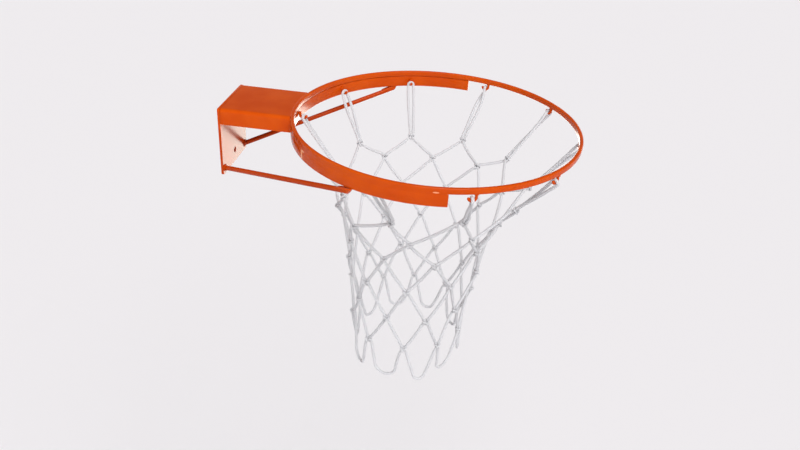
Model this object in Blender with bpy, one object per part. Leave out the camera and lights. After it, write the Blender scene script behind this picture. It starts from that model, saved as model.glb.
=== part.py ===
# A basketball hoop for a wall or board: a folded steel bracket, a flat-oval ring with a
# reinforcing band and two rod braces, ten net hooks, and the knotted net that hangs on them.
# Metres, +Z up. The wall is the plane Y = 0, and the ring stands out from it towards -Y.
# The origin is the middle of the back plate's rear face.

import math

import bmesh
import bpy
from mathutils import Matrix, Vector

# Ring
RING_INNER_RADIUS = 0.225
RING_WIDTH = 0.006
RING_HEIGHT = 0.0095
RING_EDGE_RADIUS = 0.002
RING_SEGMENTS = 96

# Reinforcing band under the wall side of the ring, flush with its outer face
BAND_THICKNESS = 0.005
BAND_HEIGHT = 0.0188
BAND_EDGE_RADIUS = 0.0008
BAND_HALF_ANGLE = math.radians(99.8)

# Bracket
BRACKET_REACH = 0.111
PLATE_WIDTH = 0.116
BACK_PLATE_HEIGHT = 0.116
BACK_PLATE_THICKNESS = 0.004
BACK_PLATE_CORNER = 0.003
SHEET_THICKNESS = 0.004
FLANGE_DEPTH = 0.026
FOLD_RADIUS = 0.006

# Bolt holes through the back plate
HOLE_DIAMETER = 0.010
UPPER_HOLE_SPACING = 0.070
UPPER_HOLE_DROP = 0.024
LOWER_HOLE_RISE = 0.020

# Braces, straight rods from the low corners of the back plate to the band's lower edge. The
# bite is how much of the rod's top is ground flat where it bears on the band.
BRACE_DIAMETER = 0.008
BRACE_SIDE_INSET = 0.008
BRACE_RISE = 0.010
BRACE_TAIL = 0.038
BRACE_BITE = 0.001
BRACE_END_SLANT = math.radians(45)

# Net hooks, short crooks of bent rod. Under the bare ring they stand on its underside and open
# along it. The band fills that place, so there they lie lower, on its face, and open inwards.
HOOK_COUNT = 10
HOOK_ROD_DIAMETER = 0.0045
HOOK_SHANK = 0.0045
HOOK_CROOK_RADIUS = 0.0055
HOOK_CROOK_TURN = math.radians(160)
HOOK_TIP_ROUND = 0.00125
HOOK_TIP_TAPER = 0.6
BAND_HOOK_DROP = 0.0035

# Net, as it hangs: the first knots lie inside the ring, and each row of cells is deeper than
# the one above it while the net narrows towards its waist
CORD_DIAMETER = 0.0055
KNOT_ROWS = 6
KNOT_REACH = 0.009
KNOT_BULGE = 0.0042
NET_LENGTH = 0.449
FIRST_KNOT_DROP = 0.104
FIRST_KNOT_INSET = 0.064
WAIST_RADIUS = 0.084
TAPER = 0.73
FIRST_CELL_SHARE = 0.54
CELL_EASE = 0.65
DRIFT_SIDE = -0.020
DRIFT_BACK = 0.016
DRIFT_LIFT = 0.020
DRIFT_EASE = 0.2
NET_TWIST = math.radians(1.6)
BAR_SAG = 0.0015
HEM_BEND_RADIUS = 0.012

# Clearances: pieces that are welded or rest on each other, and the cord round a hook
SEAT = 0.0003
CORD_CLEARANCE = 0.0004
LEG_SPREAD = 0.0011

# Facets, and the angle up to which edges are shaded smooth
CORD_SIDES = 6
ROD_SIDES = 8
BRACE_SIDES = 12
HOLE_SIDES = 24
RING_EDGE_SEGMENTS = 2
BAND_EDGE_SEGMENTS = 1
PLATE_CORNER_SEGMENTS = 3
FOLD_SEGMENTS = 4
CROOK_SEGMENTS = 8
LEG_SEGMENTS = 3
ARCH_SEGMENTS = 6
HEM_SEGMENTS = 4
STEEL_SMOOTH_ANGLE = math.radians(35)
CORD_SMOOTH_ANGLE = math.radians(60)

# Places worked out from the sizes above
RING_OUTER_RADIUS = RING_INNER_RADIUS + RING_WIDTH
RING_CENTRE = Vector((0.0, -(BRACKET_REACH + RING_OUTER_RADIUS), 0.0))
RING_TOP = BACK_PLATE_HEIGHT / 2
RING_BOTTOM = RING_TOP - RING_HEIGHT
BAND_TOP = RING_BOTTOM - SEAT
BAND_BOTTOM = BAND_TOP - BAND_HEIGHT
CORD_RADIUS = CORD_DIAMETER / 2
HALF_STEP = math.pi / HOOK_COUNT
UP = Vector((0.0, 0.0, 1.0))


# Materials

def paint(name, colour, roughness, metallic):
    material = bpy.data.materials.new(name)
    material.use_nodes = True
    shader = material.node_tree.nodes["Principled BSDF"]
    shader.inputs["Base Color"].default_value = (*colour, 1.0)
    shader.inputs["Roughness"].default_value = roughness
    shader.inputs["Metallic"].default_value = metallic
    material.diffuse_color = (*colour, 1.0)
    return material


# Shared geometry

def ring_point(angle, radius, height):
    # Angle 0 points straight away from the wall, and turns towards +X.
    return RING_CENTRE + Vector((radius * math.sin(angle), -radius * math.cos(angle), height))


def outward(angle):
    return Vector((math.sin(angle), -math.cos(angle), 0.0))


def sideways(angle):
    return Vector((math.cos(angle), math.sin(angle), 0.0))


def add_object(name, bm, material, smooth_angle=STEEL_SMOOTH_ANGLE):
    bmesh.ops.recalc_face_normals(bm, faces=bm.faces)
    if bm.calc_volume(signed=True) < 0:
        bmesh.ops.reverse_faces(bm, faces=bm.faces)
    mesh = bpy.data.meshes.new(name)
    bm.to_mesh(mesh)
    bm.free()
    mesh.shade_smooth()
    mesh.set_sharp_from_angle(angle=smooth_angle)
    mesh.materials.append(material)
    obj = bpy.data.objects.new(name, mesh)
    bpy.context.scene.collection.objects.link(obj)
    return obj


def loft(bm, sections, closed=False, caps=True):
    # Joins sections of equal length with quads, and caps the two ends of an open loft.
    rings = [[bm.verts.new(p) for p in section] for section in sections]
    pairs = list(zip(rings, rings[1:]))
    if closed:
        pairs.append((rings[-1], rings[0]))
    count = len(rings[0])
    for first, second in pairs:
        for i in range(count):
            j = (i + 1) % count
            bm.faces.new((first[i], first[j], second[j], second[i]))
    if caps and not closed:
        bm.faces.new(rings[0])
        bm.faces.new(rings[-1])
    return rings


def rounded_rectangle(low, high, radius, steps):
    # Corner points of a rectangle from low to high (pairs), with rounded corners.
    left, right = low[0] + radius, high[0] - radius
    bottom, top = low[1] + radius, high[1] - radius
    points = []
    for quarter, (x, y) in enumerate([(right, top), (left, top), (left, bottom), (right, bottom)]):
        for k in range(steps + 1):
            a = 0.5 * math.pi * (quarter + k / steps)
            points.append((x + radius * math.cos(a), y + radius * math.sin(a)))
    return points


def rod_sections(points, radius, sides, reference):
    # Round sections along a path. The reference direction stays one of their corners.
    sections = []
    for k, point in enumerate(points):
        before = points[max(k - 1, 0)]
        after = points[min(k + 1, len(points) - 1)]
        along = (after - before).normalized()
        corner = (reference - along * reference.dot(along)).normalized()
        across = along.cross(corner)
        turns = [2 * math.pi * i / sides for i in range(sides)]
        sections.append([point + radius * (math.cos(a) * corner + math.sin(a) * across) for a in turns])
    return sections


def arc(centre, first, second, start, end, steps):
    # Points at start to end radians, measured from the vector first towards the vector second.
    angles = [start + (end - start) * k / steps for k in range(steps + 1)]
    return [centre + first * math.cos(a) + second * math.sin(a) for a in angles]


def cut(obj, cutters):
    for cutter in cutters:
        cutter.hide_render = True
        cutter.display_type = "WIRE"
        modifier = obj.modifiers.new(cutter.name, "BOOLEAN")
        modifier.operation = "DIFFERENCE"
        modifier.solver = "EXACT"
        modifier.object = cutter


def cylinder(name, radius, length, segments, matrix):
    bm = bmesh.new()
    bmesh.ops.create_cone(bm, cap_ends=True, segments=segments, radius1=radius, radius2=radius,
                          depth=length, matrix=matrix)
    mesh = bpy.data.meshes.new(name)
    bm.to_mesh(mesh)
    bm.free()
    obj = bpy.data.objects.new(name, mesh)
    bpy.context.scene.collection.objects.link(obj)
    return obj


# Ring and band

def turned_bar(bm, profile, angles, closed):
    loft(bm, [[ring_point(a, r, z) for r, z in profile] for a in angles], closed=closed)


def build_ring(material):
    profile = rounded_rectangle((RING_INNER_RADIUS, RING_BOTTOM), (RING_OUTER_RADIUS, RING_TOP),
                                RING_EDGE_RADIUS, RING_EDGE_SEGMENTS)
    angles = [2 * math.pi * k / RING_SEGMENTS for k in range(RING_SEGMENTS)]
    bm = bmesh.new()
    turned_bar(bm, profile, angles, True)
    return add_object("ring", bm, material)


def build_band(material):
    profile = rounded_rectangle((RING_OUTER_RADIUS - BAND_THICKNESS, BAND_BOTTOM),
                                (RING_OUTER_RADIUS, BAND_TOP), BAND_EDGE_RADIUS, BAND_EDGE_SEGMENTS)
    steps = round(RING_SEGMENTS * BAND_HALF_ANGLE / math.pi)
    angles = [math.pi + BAND_HALF_ANGLE * (2 * k / steps - 1) for k in range(steps + 1)]
    bm = bmesh.new()
    turned_bar(bm, profile, angles, False)
    return add_object("reinforcing_band", bm, material)


# Bracket

def build_back_plate(material):
    half = (PLATE_WIDTH / 2, BACK_PLATE_HEIGHT / 2)
    outline = rounded_rectangle((-half[0], -half[1]), half, BACK_PLATE_CORNER, PLATE_CORNER_SEGMENTS)
    bm = bmesh.new()
    loft(bm, [[(x, y, z) for x, z in outline] for y in (0.0, -BACK_PLATE_THICKNESS)])
    plate = add_object("back_plate", bm, material)
    upper = half[1] - UPPER_HOLE_DROP
    lower = LOWER_HOLE_RISE - half[1]
    places = [(-UPPER_HOLE_SPACING / 2, upper), (UPPER_HOLE_SPACING / 2, upper), (0.0, lower)]
    turn = Matrix.Rotation(math.pi / 2, 4, "X")
    depth = 3 * BACK_PLATE_THICKNESS
    cutters = []
    for k, (x, z) in enumerate(places):
        place = Matrix.Translation((x, -BACK_PLATE_THICKNESS / 2, z)) @ turn
        cutters.append(cylinder(f"hole_cutter_{k + 1}", HOLE_DIAMETER / 2, depth, HOLE_SIDES, place))
    cut(plate, cutters)
    return plate


def channel_profile():
    # The folded sheet's section: up one side, across the top, down the other, and back inside.
    half = PLATE_WIDTH / 2
    inner_fold = FOLD_RADIUS - SHEET_THICKNESS
    bottom = RING_TOP - FLANGE_DEPTH
    outer = [(half, bottom)]
    inner = [(half - SHEET_THICKNESS, bottom)]
    for k in range(FOLD_SEGMENTS + 1):
        a = 0.5 * math.pi * k / FOLD_SEGMENTS
        x = half - FOLD_RADIUS
        z = RING_TOP - FOLD_RADIUS
        outer.append((x + FOLD_RADIUS * math.cos(a), z + FOLD_RADIUS * math.sin(a)))
        inner.append((x + inner_fold * math.cos(a), z + inner_fold * math.sin(a)))
    mirrored_outer = [(-x, z) for x, z in reversed(outer)]
    mirrored_inner = [(-x, z) for x, z in inner]
    return outer + mirrored_outer + mirrored_inner + list(reversed(inner))


def build_top_plate(material):
    rear = -(BACK_PLATE_THICKNESS + SEAT)
    front = RING_CENTRE.y + RING_INNER_RADIUS * math.cos(math.asin(PLATE_WIDTH / 2 / RING_INNER_RADIUS))
    bm = bmesh.new()
    loft(bm, [[(x, y, z) for x, z in channel_profile()] for y in (rear, front)])
    plate = add_object("top_plate", bm, material)
    # A corner of the cutter stands at each corner of the ring, so the seat is even all along.
    turn = Matrix.Rotation(-math.pi / 2, 4, "Z")
    place = Matrix.Translation(RING_CENTRE + UP * RING_TOP) @ turn
    cutter = cylinder("ring_cutter", RING_OUTER_RADIUS + SEAT, 4 * FLANGE_DEPTH, RING_SEGMENTS, place)
    cut(plate, [cutter])
    return plate


# Braces

def brace_ends(side):
    # Seen from above the rod touches the middle line of the band, and its tail runs past that
    # point by its own length.
    foot = Vector((PLATE_WIDTH / 2 - BRACE_SIDE_INSET, -(BACK_PLATE_THICKNESS + SEAT),
                   BRACE_RISE - BACK_PLATE_HEIGHT / 2))
    from_centre = foot - RING_CENTRE
    line_radius = RING_OUTER_RADIUS - BAND_THICKNESS / 2
    touch_angle = math.atan2(from_centre.x, -from_centre.y) - math.acos(line_radius / from_centre.xy.length)
    touch = ring_point(touch_angle, line_radius, foot.z)
    end = touch + (touch - foot).normalized() * BRACE_TAIL
    end.z = BAND_BOTTOM - SEAT - BRACE_DIAMETER / 2 + BRACE_BITE
    return [Vector((side * p.x, p.y, p.z)) for p in (foot, end)]


def build_brace(name, side, material):
    foot, end = brace_ends(side)
    along = (end - foot).normalized()
    ground_start = end - along * (BRACE_BITE / along.z)
    points = [foot, foot.lerp(ground_start, 0.5), ground_start, end]
    sections = rod_sections(points, BRACE_DIAMETER / 2, BRACE_SIDES, UP)
    # The foot is cut on the slant, flat on the back plate. The far end slants under, and its
    # top is ground flat to bear on the band.
    sections[0] = [p + along * ((foot.y - p.y) / along.y) for p in sections[0]]
    for k in (-2, -1):
        crown = max(p.z for p in sections[k])
        sections[k] = [p - along * ((crown - p.z) * math.tan(BRACE_END_SLANT)) for p in sections[k]]
    bearing = BAND_BOTTOM - SEAT
    bm = bmesh.new()
    loft(bm, [[Vector((p.x, p.y, min(p.z, bearing))) for p in section] for section in sections])
    return add_object(name, bm, material)


# Net hooks

def on_band(angle):
    return abs(angle - math.pi) < BAND_HALF_ANGLE


def crook_direction(angle):
    # From a hook's shank to its tip. Under the bare ring the tips point towards the wall.
    if on_band(angle):
        return -outward(angle)
    return sideways(angle) if angle < math.pi else -sideways(angle)


def crook_centre(angle):
    height = RING_BOTTOM - SEAT - HOOK_SHANK
    if on_band(angle):
        face = RING_OUTER_RADIUS - BAND_THICKNESS - SEAT
        return ring_point(angle, face - HOOK_ROD_DIAMETER / 2 - HOOK_CROOK_RADIUS, height - BAND_HOOK_DROP)
    return ring_point(angle, RING_INNER_RADIUS + RING_WIDTH / 2, height)


def crook_bottom(angle):
    return crook_centre(angle) - UP * HOOK_CROOK_RADIUS


def build_hook(number, angle, material):
    tipwards = crook_direction(angle)
    crook = arc(crook_centre(angle), -tipwards * HOOK_CROOK_RADIUS, -UP * HOOK_CROOK_RADIUS,
                0.0, HOOK_CROOK_TURN, CROOK_SEGMENTS)
    top = crook[0] + UP * HOOK_SHANK
    lean = tipwards * math.sin(HOOK_CROOK_TURN) - UP * math.cos(HOOK_CROOK_TURN)
    tip = crook[-1] + lean * HOOK_TIP_ROUND
    sections = rod_sections([top] + crook + [tip], HOOK_ROD_DIAMETER / 2, ROD_SIDES, tipwards.cross(UP))
    sections[-1] = [tip + (p - tip) * HOOK_TIP_TAPER for p in sections[-1]]
    bm = bmesh.new()
    loft(bm, sections)
    return add_object(f"net_hook_{number:02d}", bm, material)


# Net

def row_drop(row):
    # How far row 1, 2, ... of the knots hangs below the ring's top. The row after the last
    # is the bottom of the hem loops.
    cells = [1 - (1 - FIRST_CELL_SHARE) * CELL_EASE ** k for k in range(KNOT_ROWS)]
    return FIRST_KNOT_DROP + (NET_LENGTH - FIRST_KNOT_DROP) * sum(cells[:row - 1]) / sum(cells)


def net_point(row, angle):
    # A point of the net's hanging shape on a row. The net narrows and drifts to one side, and
    # the side that it drifts away from is drawn up.
    top_radius = RING_INNER_RADIUS - FIRST_KNOT_INSET
    radius = WAIST_RADIUS + (top_radius - WAIST_RADIUS) * TAPER ** (row - 1)
    share = 1 - DRIFT_EASE ** (row - 1)
    lift = DRIFT_LIFT * (1 + math.sin(angle)) / 2
    drift = Vector((DRIFT_SIDE, DRIFT_BACK, lift)) * share
    return ring_point(angle + NET_TWIST, radius, RING_TOP - row_drop(row)) + drift


def knot_angle(row, column):
    # Knots of every second row stand between those of the row above.
    return 2 * HALF_STEP * column + HALF_STEP * ((row - 1) % 2)


def knot_centre(row, column):
    return net_point(row, knot_angle(row, column))


def knot_normal(row, column):
    return outward(knot_angle(row, column) + NET_TWIST)


def cord_section(point, along, normal):
    # One section of the cord, with a corner towards the outside of the net.
    return rod_sections([point - along, point, point + along], CORD_RADIUS, CORD_SIDES, normal)[1]


def leg_direction(column):
    # From a first knot to the bottom of its hook's crook.
    return (crook_bottom(knot_angle(1, column)) - knot_centre(1, column)).normalized()


def leg_side(column):
    along = leg_direction(column)
    side = sideways(knot_angle(1, column))
    return (side - along * side.dot(along)).normalized()


def leg_offset():
    # Half the distance between the two legs of a loop where they enter the knot.
    return CORD_RADIUS + LEG_SPREAD / 2


def bar_middle(start, end):
    # A bar of cord between two knots sags a little.
    return [(start + end) / 2 - UP * BAR_SAG]


def hem_bend(column):
    # A hem loop is two straight legs that run off a round bend, lowest on the row below.
    start = knot_centre(KNOT_ROWS, column)
    end = knot_centre(KNOT_ROWS, column + 1)
    lowest = net_point(KNOT_ROWS + 1, knot_angle(KNOT_ROWS, column) + HALF_STEP)
    middle = (start + end) / 2
    across = (end - start).normalized()
    down = (lowest - middle).normalized()
    half_width = (end - start).length / 2
    depth = (lowest - middle).length - HEM_BEND_RADIUS
    leg_slope = math.atan2(depth, half_width) + math.asin(HEM_BEND_RADIUS / math.hypot(depth, half_width))
    quarter = math.pi / 2
    return arc(middle + down * depth, across * HEM_BEND_RADIUS, down * HEM_BEND_RADIUS,
               quarter + leg_slope, quarter - leg_slope, HEM_SEGMENTS)


def knot_reach(row, column):
    # From a knot's middle to where its cords enter it. The legs of two hem loops leave a last
    # knot at a narrow angle, and enter it where they are clear of each other.
    if row < KNOT_ROWS:
        return KNOT_REACH
    centre = knot_centre(row, column)
    first, second = hem_bend(column)[0] - centre, hem_bend(column - 1)[-1] - centre
    half_width = CORD_RADIUS * math.cos(math.pi / CORD_SIDES) + CORD_CLEARANCE / 2
    return max(KNOT_REACH, half_width / math.tan(first.angle(second) / 2))


def add_strand(bm, entries, first_knot, last_knot, via):
    # A strand from knot to knot. Its two open ends wait for the knots to be tied round them.
    start = knot_centre(*first_knot)
    end = knot_centre(*last_knot)
    leaving = (via[0] - start).normalized()
    arriving = (end - via[-1]).normalized()
    normals = [knot_normal(*first_knot), knot_normal(*last_knot)]
    points = [start + leaving * knot_reach(*first_knot)] + via + [end - arriving * knot_reach(*last_knot)]
    sections = rod_sections(points, CORD_RADIUS, CORD_SIDES, (normals[0] + normals[1]).normalized())
    sections[0] = cord_section(points[0], leaving, normals[0])
    sections[-1] = cord_section(points[-1], arriving, normals[1])
    rings = loft(bm, sections, caps=False)
    for (row, column), ring in ((first_knot, rings[0]), (last_knot, rings[-1])):
        entries.setdefault((row, column % HOOK_COUNT), []).append(ring)


def build_net_mesh(material):
    bm = bmesh.new()
    entries = {}
    for row in range(1, KNOT_ROWS):
        for column in range(HOOK_COUNT):
            # The two bars below a knot go to the knots on its two sides in the next row.
            shift = 0 if row % 2 else 1
            for neighbour in (column + shift - 1, column + shift):
                middle = bar_middle(knot_centre(row, column), knot_centre(row + 1, neighbour))
                add_strand(bm, entries, (row, column), (row + 1, neighbour), middle)
    for column in range(HOOK_COUNT):
        add_strand(bm, entries, (KNOT_ROWS, column), (KNOT_ROWS, column + 1), hem_bend(column))
    for column in range(HOOK_COUNT):
        along = leg_direction(column)
        for sign in (-1, 1):
            point = knot_centre(1, column) + along * KNOT_REACH + leg_side(column) * (sign * leg_offset())
            section = cord_section(point, along, knot_normal(1, column))
            entries[(1, column)].append([bm.verts.new(p) for p in section])
    for (row, column), rings in entries.items():
        tie_knot(bm, knot_centre(row, column), knot_normal(row, column), rings, capped=row == 1)
    return add_object("net_mesh", bm, material, CORD_SMOOTH_ANGLE)


def tie_knot(bm, centre, normal, rings, capped):
    # A knot is the hull of the cords that enter it, with a bulge on both sides of the net. On
    # the first row the last two are the feet of a hook's loop, which stay closed.
    bulges = [bm.verts.new(centre + normal * (sign * KNOT_BULGE)) for sign in (-1, 1)]
    verts = [v for ring in rings for v in ring] + bulges
    hull = bmesh.ops.convex_hull(bm, input=verts, use_existing_faces=False)
    faces = [f for f in hull["geom"] if isinstance(f, bmesh.types.BMFace)]
    open_rings = rings[:-2] if capped else rings
    for ring in open_rings:
        ring_verts = set(ring)
        inside = [f for f in faces if f.is_valid and set(f.verts) <= ring_verts]
        bmesh.ops.delete(bm, geom=inside, context="FACES_ONLY")


def build_net_loop(number, column, material):
    # Up from the knot, square over the hook's rod and down again.
    angle = knot_angle(1, column)
    along = leg_direction(column)
    rod_line = crook_direction(angle)
    rise = (along - rod_line * along.dot(rod_line)).normalized()
    reach = HOOK_ROD_DIAMETER / 2 + CORD_RADIUS + CORD_CLEARANCE
    arch = arc(crook_bottom(angle), rod_line.cross(rise) * reach, rise * reach, 0.0, math.pi, ARCH_SEGMENTS)
    foot = knot_centre(1, column) + along * (KNOT_REACH + SEAT)
    feet = [foot + leg_side(column) * (sign * leg_offset()) for sign in (1, -1)]
    up_leg = [feet[0].lerp(arch[0], k / LEG_SEGMENTS) for k in range(LEG_SEGMENTS)]
    down_leg = [arch[-1].lerp(feet[1], (k + 1) / LEG_SEGMENTS) for k in range(LEG_SEGMENTS)]
    sections = rod_sections(up_leg + arch + down_leg, CORD_RADIUS, CORD_SIDES, rod_line)
    sections[0] = cord_section(feet[0], along, rod_line)
    sections[-1] = cord_section(feet[1], -along, rod_line)
    bm = bmesh.new()
    loft(bm, sections)
    return add_object(f"net_loop_{number:02d}", bm, material, CORD_SMOOTH_ANGLE)


def build_hoop():
    for obj in list(bpy.data.objects):
        bpy.data.objects.remove(obj)
    orange = paint("orange_paint", (0.62, 0.10, 0.012), 0.35, 0.0)
    cord = paint("white_cord", (0.80, 0.79, 0.77), 0.85, 0.0)
    build_back_plate(orange)
    build_top_plate(orange)
    build_ring(orange)
    build_band(orange)
    build_brace("left_brace", -1, orange)
    build_brace("right_brace", 1, orange)
    for column in range(HOOK_COUNT):
        build_hook(column + 1, knot_angle(1, column), orange)
        build_net_loop(column + 1, column, cord)
    build_net_mesh(cord)


build_hoop()
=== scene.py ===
# A basketball hoop: orange painted steelwork with its welds, and a white knotted cord net.
# Metres, +Z up. The wall is the plane Y = 0 and the ring stands out from it towards -Y.

import math
import random

import bmesh
import bpy
from mathutils import Matrix, Vector


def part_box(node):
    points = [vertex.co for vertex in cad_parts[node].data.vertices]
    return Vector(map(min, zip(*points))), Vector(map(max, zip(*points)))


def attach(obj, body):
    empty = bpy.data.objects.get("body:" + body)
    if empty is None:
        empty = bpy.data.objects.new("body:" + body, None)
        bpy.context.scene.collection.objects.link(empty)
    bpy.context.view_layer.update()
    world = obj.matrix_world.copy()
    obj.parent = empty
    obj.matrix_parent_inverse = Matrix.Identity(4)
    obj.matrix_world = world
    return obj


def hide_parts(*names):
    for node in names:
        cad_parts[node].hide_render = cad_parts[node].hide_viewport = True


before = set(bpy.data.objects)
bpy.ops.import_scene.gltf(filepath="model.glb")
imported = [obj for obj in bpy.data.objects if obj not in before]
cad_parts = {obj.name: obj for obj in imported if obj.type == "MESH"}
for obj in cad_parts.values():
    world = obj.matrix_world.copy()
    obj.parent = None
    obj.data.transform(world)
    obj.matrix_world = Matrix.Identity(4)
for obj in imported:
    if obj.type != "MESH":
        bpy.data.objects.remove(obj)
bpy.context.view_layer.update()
up = Vector((0, 0, 1))

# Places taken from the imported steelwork
ringLow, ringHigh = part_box("ring")
bandLow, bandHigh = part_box("reinforcing_band")
backLow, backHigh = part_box("back_plate")
topLow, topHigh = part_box("top_plate")
ringMiddle = (ringLow + ringHigh) / 2
ringRadius = (ringHigh.x - ringLow.x) / 2
ringTop = ringHigh.z


def ringPoint(angle, radius, height):
    # Angle 0 is straight away from the wall, and turns towards +X.
    x, y = radius * math.sin(angle), -radius * math.cos(angle)
    return Vector((ringMiddle.x + x, ringMiddle.y + y, height))


def outward(angle):
    return Vector((math.sin(angle), -math.cos(angle), 0))


def sideways(angle):
    return Vector((math.cos(angle), math.sin(angle), 0))


# Node trees, written as Python expressions

class Wire:
    # One value in a node tree. Arithmetic on it adds Math nodes to the tree.
    def __init__(self, graph, socket):
        self.graph = graph
        self.socket = socket

    def __add__(self, other):
        return self.graph.math("ADD", self, other)

    def __sub__(self, other):
        return self.graph.math("SUBTRACT", self, other)

    def __mul__(self, other):
        return self.graph.math("MULTIPLY", self, other)

    def __truediv__(self, other):
        return self.graph.math("DIVIDE", self, other)

    def __rsub__(self, other):
        return self.graph.math("SUBTRACT", other, self)

    def __rtruediv__(self, other):
        return self.graph.math("DIVIDE", other, self)

    __radd__ = __add__
    __rmul__ = __mul__


class Graph:
    # The node tree of a material, a modifier or the sky.
    def __init__(self, tree):
        self.tree = tree

    def node(self, kind, settings=None, values=None, output=0):
        made = self.tree.nodes.new(kind)
        for key, value in (settings or {}).items():
            if key == "captures":
                for socketType, name in value:
                    made.capture_items.new(socketType, name)
            else:
                setattr(made, key, value)
        self.feed(made, values or {})
        return Wire(self, made.outputs[output]) if made.outputs else None

    def feed(self, node, values):
        # Links or sets a node's inputs.
        for key, value in values.items():
            if isinstance(value, Wire):
                self.tree.links.new(value.socket, node.inputs[key])
            else:
                node.inputs[key].default_value = value

    def named(self, name):
        return self.node("GeometryNodeInputNamedAttribute", None, {"Name": name})

    def also(self, wire, output):
        # Another output of the node that a value comes from.
        return Wire(self, wire.socket.node.outputs[output])

    def math(self, operation, *parts):
        return self.node("ShaderNodeMath", {"operation": operation}, dict(enumerate(parts)))

    def blend(self, share, first, second):
        # A colour between two, by a share from 0 to 1.
        values = {0: share, 6: first, 7: second}
        return self.node("ShaderNodeMix", {"data_type": "RGBA"}, values, 2)

    def step(self, value, low, high):
        # 0 below low and 1 above high, with a smooth change between them.
        settings = {"interpolation_type": "SMOOTHSTEP"}
        return self.node("ShaderNodeMapRange", settings, {0: value, 1: low, 2: high})

    def noise(self, place, scale, detail=2.0, roughness=0.5):
        values = {"Vector": place, "Scale": scale, "Detail": detail, "Roughness": roughness}
        return self.node("ShaderNodeTexNoise", None, values)

    def bump(self, height, strength, depth):
        values = {"Strength": strength, "Distance": depth, "Height": height}
        return self.node("ShaderNodeBump", None, values)

    def braid(self, along, around):
        # Height, 0 to 1, of a braid whose strands cross over and under each other. Both places
        # are counted in strand widths.
        first = around + along
        second = around - along
        firstPart = self.math("FRACT", first) - 0.5
        secondPart = self.math("FRACT", second) - 0.5
        crossings = self.math("FLOOR", first) + self.math("FLOOR", second)
        firstOnTop = self.math("FLOORED_MODULO", crossings, 2)
        firstCrown = self.math("COSINE", firstPart * math.pi)
        secondCrown = self.math("COSINE", secondPart * math.pi)
        dip = 0.45  # how far a strand sinks beside another's crown
        firstStrand = firstCrown * (secondCrown * dip + (1 - dip))
        secondStrand = secondCrown * (firstCrown * dip + (1 - dip))
        return secondStrand + (firstStrand - secondStrand) * firstOnTop


# Materials

def colour(red, green, blue):
    # A colour as seen on a screen, 0 to 255, as the renderer wants it.
    parts = []
    for value in (red, green, blue):
        share = value / 255
        parts.append(share / 12.92 if share <= 0.04045 else ((share + 0.055) / 1.055) ** 2.4)
    return (*parts, 1)


def newMaterial(name):
    material = bpy.data.materials.new(name)
    material.use_nodes = True
    graph = Graph(material.node_tree)
    return material, graph, material.node_tree.nodes["Principled BSDF"]


orangePaint = {
    "colour": (211, 82, 10),
    "deepColour": (201, 72, 7),
    "patchScale": 17,
    "patchEdge": (0.35, 0.7),
    # Painted shade: the colour below the first of these heights, fading out by the second
    "paintedShadeColour": (184, 62, 6),
    "paintedShadeHeights": (0.018, 0.027),
    "scuffColour": (232, 150, 112),
    "scratchStretch": (1, 1, 7),
    "scratchScale": 260,
    "scratchEdge": (0.66, 0.74),
    "wornScale": 31,
    "wornEdge": (0.55, 0.7),
    "scuffStrength": 0.5,
    # Painted highlights: pale spots where highlights fall on the ring and the band
    "paintedHighlightColour": (250, 172, 126),
    # Angle round the ring, height, and half the length, height and depth of each painted highlight
    "paintedHighlightSpots": [
        (216.9, 0.0378, 0.0034, 0.0080, 0.0020),
        (217.9, 0.0442, 0.0052, 0.0020, 0.0020),
        (275.5, 0.0510, 0.0046, 0.0012, 0.0020),
    ],
    "paintedHighlightEdge": (0.75, 1.05),
    "paintedHighlightStrength": 0.9,
    "raggedScale": 620,
    "raggedDepth": 0.9,
    "peelScale": 520,
    "peelDepth": 0.00006,
    "peelStrength": 0.5,
    "scuffDepth": 0.6,
    "roughness": 0.12,
    "patchRoughness": 0.12,
    "scuffRoughness": 0.3,
    "ior": 1.2,
}


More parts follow.
